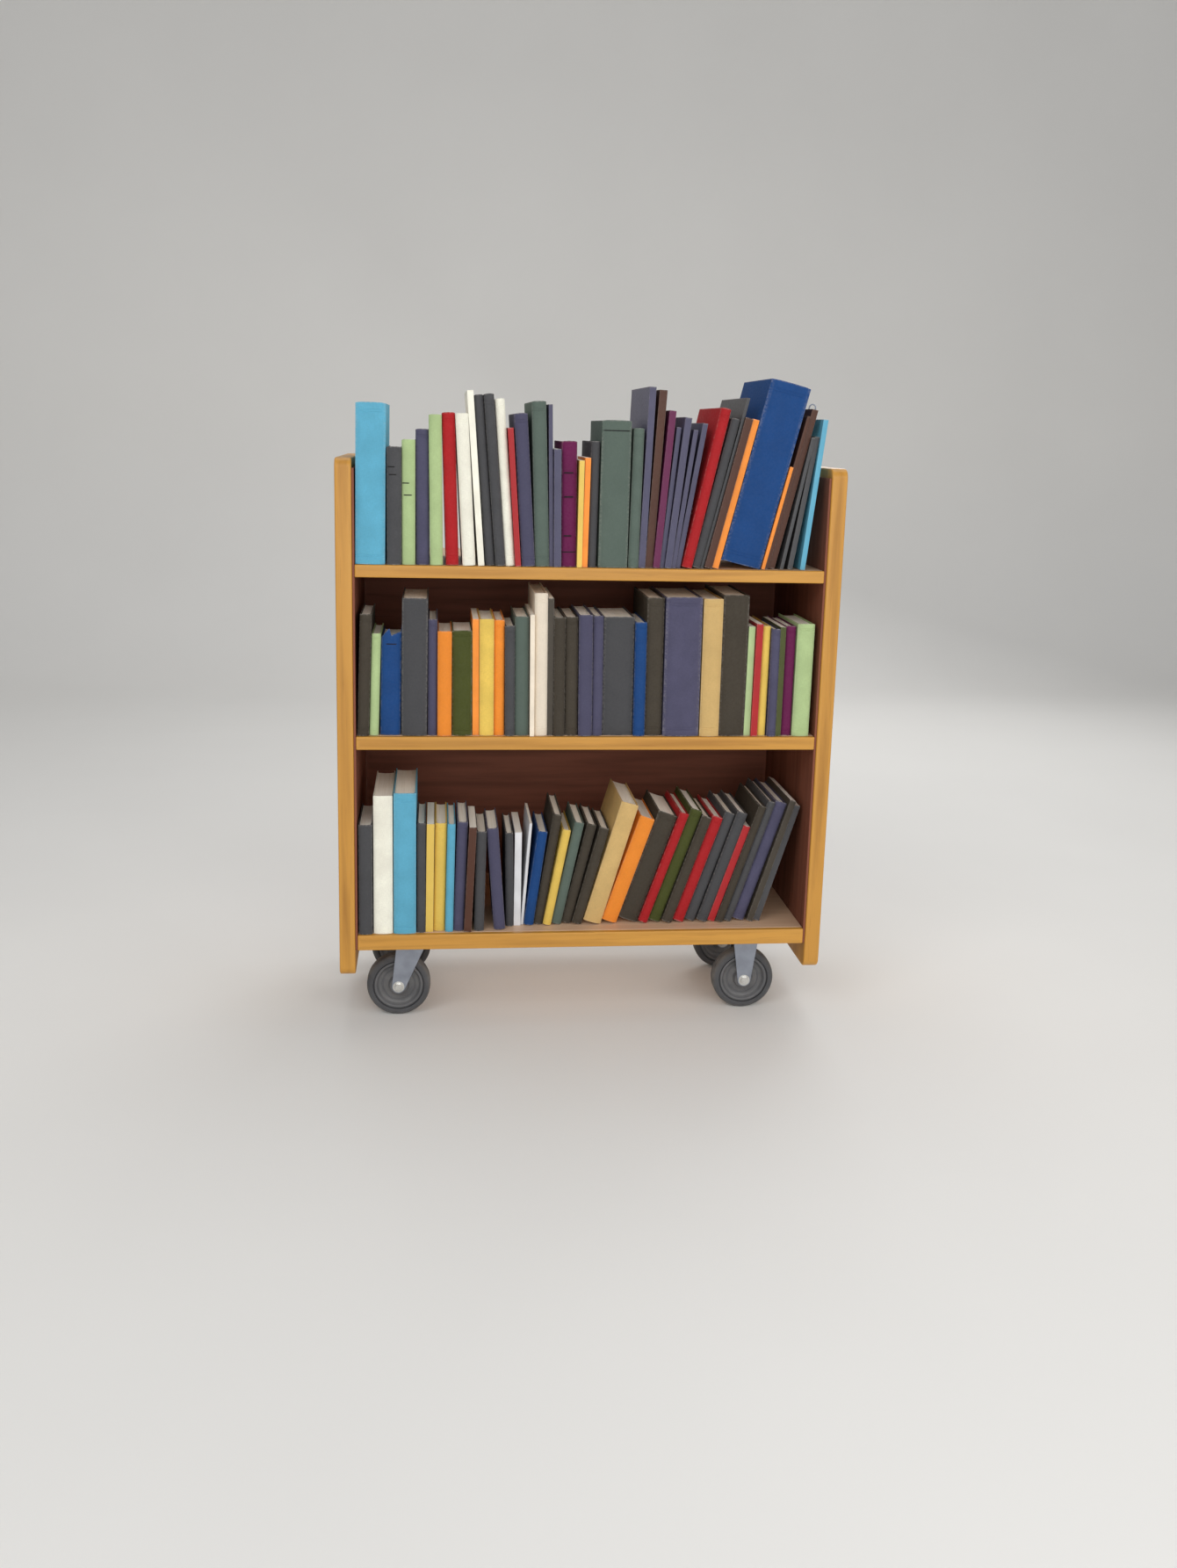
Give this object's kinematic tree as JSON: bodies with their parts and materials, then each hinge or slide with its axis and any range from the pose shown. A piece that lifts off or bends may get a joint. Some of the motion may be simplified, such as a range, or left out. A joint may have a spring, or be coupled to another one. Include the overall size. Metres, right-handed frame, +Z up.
{
  "type": "book cart",
  "caption": "Wooden library book cart on swivel and rigid casters, with bookend side panels, a back behind the lower shelves, and rows of upright and leaning books.",
  "frame": {"origin": "on the floor under the middle of the cart", "axes": "+X to the right for a reader facing the spines, -Y is the front where the spines are, +Z up"},
  "size_m": [0.94, 0.38, 1.2528],
  "materials": {
    "golden_oak": "satin varnish over straight oak grain",
    "dark_board": "dark brown stained board, low sheen",
    "pale_board": "pale pinkish tan laminate with fine grain",
    "fork_steel": "zinc plated pressed steel, blue grey",
    "zinc": "bright zinc plate",
    "wheel_plastic": "moulded, dark grey",
    "tyre_rubber": "matt dark grey rubber",
    "pages": "cut paper edges",
    "gilt": "worn gilt lines",
    "cover_sky": "book cloth or printed cover over board",
    "cover_charcoal": "book cloth or printed cover over board",
    "cover_leaf": "book cloth or printed cover over board",
    "cover_slate": "book cloth or printed cover over board",
    "cover_red": "book cloth or printed cover over board",
    "cover_white": "book cloth or printed cover over board",
    "cover_sage": "book cloth or printed cover over board",
    "cover_plum": "book cloth or printed cover over board",
    "cover_yellow": "book cloth or printed cover over board",
    "cover_orange": "book cloth or printed cover over board",
    "cover_brown": "book cloth or printed cover over board",
    "cover_blue": "book cloth or printed cover over board",
    "cover_umber": "book cloth or printed cover over board",
    "cover_olive": "book cloth or printed cover over board",
    "cover_cream": "book cloth or printed cover over board",
    "cover_tan": "book cloth or printed cover over board",
    "cover_silver": "book cloth or printed cover over board"
  },
  "bodies": {
    "cart": {"left_end_panel": "golden_oak", "right_end_panel": "golden_oak", "top_shelf_front_edge": "golden_oak", "middle_shelf_front_edge": "golden_oak", "bottom_shelf_front_edge": "golden_oak", "left_inner_liner": "dark_board", "right_inner_liner": "dark_board", "lower_back_panel": "dark_board", "upper_back_panel": "dark_board", "top_shelf": "pale_board", "middle_shelf": "pale_board", "bottom_shelf": "pale_board", "top_left_books": "cover_leaf", "top_centre_books": "cover_plum", "top_right_books": "cover_slate", "top_leaning_books": "cover_red", "top_last_books": "cover_brown", "middle_left_books": "cover_olive", "middle_centre_books": "cover_cream", "middle_right_books": "cover_tan", "bottom_left_books": "cover_charcoal", "bottom_centre_books": "cover_umber", "bottom_leaning_books": "cover_umber", "front_left_top_plate": "fork_steel", "front_left_king_pin": "zinc", "front_left_ball_race": "zinc", "rear_left_top_plate": "fork_steel", "rear_left_king_pin": "zinc", "rear_left_ball_race": "zinc", "front_right_fork": "fork_steel", "front_right_axle_bolt": "zinc", "front_right_axle_nut": "zinc", "front_right_hub_sleeve": "zinc", "rear_right_fork": "fork_steel", "rear_right_axle_bolt": "zinc", "rear_right_axle_nut": "zinc", "rear_right_hub_sleeve": "zinc"},
    "front_left_swivel": {"front_left_fork": "fork_steel", "front_left_axle_bolt": "zinc", "front_left_axle_nut": "zinc", "front_left_hub_sleeve": "zinc"},
    "front_left_wheel": {"front_left_wheel_core": "wheel_plastic", "front_left_tyre": "tyre_rubber"},
    "rear_left_swivel": {"rear_left_fork": "fork_steel", "rear_left_axle_bolt": "zinc", "rear_left_axle_nut": "zinc", "rear_left_hub_sleeve": "zinc"},
    "rear_left_wheel": {"rear_left_wheel_core": "wheel_plastic", "rear_left_tyre": "tyre_rubber"},
    "front_right_wheel": {"front_right_wheel_core": "wheel_plastic", "front_right_tyre": "tyre_rubber"},
    "rear_right_wheel": {"rear_right_wheel_core": "wheel_plastic", "rear_right_tyre": "tyre_rubber"},
    "tall_light_blue_book": {"tall_light_blue_book": "cover_sky"},
    "broad_green_book": {"broad_green_book": "cover_sage"},
    "large_blue_book": {"large_blue_book": "cover_blue"},
    "broad_slate_book": {"broad_slate_book": "cover_slate"},
    "dark_grey_book": {"dark_grey_book": "cover_charcoal"},
    "tall_white_book": {"tall_white_book": "cover_white"},
    "sky_blue_book": {"sky_blue_book": "cover_sky"}
  },
  "joints": [
    {"name": "front_left_swivel", "type": "hinge", "parent": "cart", "child": "front_left_swivel", "pos_m": [-0.336, -0.105, 0.153], "axis": [0, 0, 1], "continuous": true},
    {"name": "front_left_roll", "type": "hinge", "parent": "front_left_swivel", "child": "front_left_wheel", "pos_m": [-0.36, -0.105, 0.0625], "axis": [0, 1, 0], "continuous": true},
    {"name": "rear_left_swivel", "type": "hinge", "parent": "cart", "child": "rear_left_swivel", "pos_m": [-0.336, 0.105, 0.153], "axis": [0, 0, 1], "continuous": true},
    {"name": "rear_left_roll", "type": "hinge", "parent": "rear_left_swivel", "child": "rear_left_wheel", "pos_m": [-0.36, 0.105, 0.0625], "axis": [0, 1, 0], "continuous": true},
    {"name": "front_right_roll", "type": "hinge", "parent": "cart", "child": "front_right_wheel", "pos_m": [0.336, -0.105, 0.0625], "axis": [0, 1, 0], "continuous": true},
    {"name": "rear_right_roll", "type": "hinge", "parent": "cart", "child": "rear_right_wheel", "pos_m": [0.336, 0.105, 0.0625], "axis": [0, 1, 0], "continuous": true},
    {"name": "tall_light_blue_book_pull", "type": "slide", "parent": "cart", "child": "tall_light_blue_book", "axis": [0, -1, 0], "range_m": [0, 0.1]},
    {"name": "broad_green_book_pull", "type": "slide", "parent": "cart", "child": "broad_green_book", "axis": [0, -1, 0], "range_m": [0, 0.1]},
    {"name": "large_blue_book_pull", "type": "slide", "parent": "cart", "child": "large_blue_book", "axis": [0, -1, 0], "range_m": [0, 0.12]},
    {"name": "broad_slate_book_pull", "type": "slide", "parent": "cart", "child": "broad_slate_book", "axis": [0, -1, 0], "range_m": [0, 0.09]},
    {"name": "dark_grey_book_pull", "type": "slide", "parent": "cart", "child": "dark_grey_book", "axis": [0, -1, 0], "range_m": [0, 0.075]},
    {"name": "tall_white_book_pull", "type": "slide", "parent": "cart", "child": "tall_white_book", "axis": [0, -1, 0], "range_m": [0, 0.09]},
    {"name": "sky_blue_book_pull", "type": "slide", "parent": "cart", "child": "sky_blue_book", "axis": [0, -1, 0], "range_m": [0, 0.1]}
  ]
}
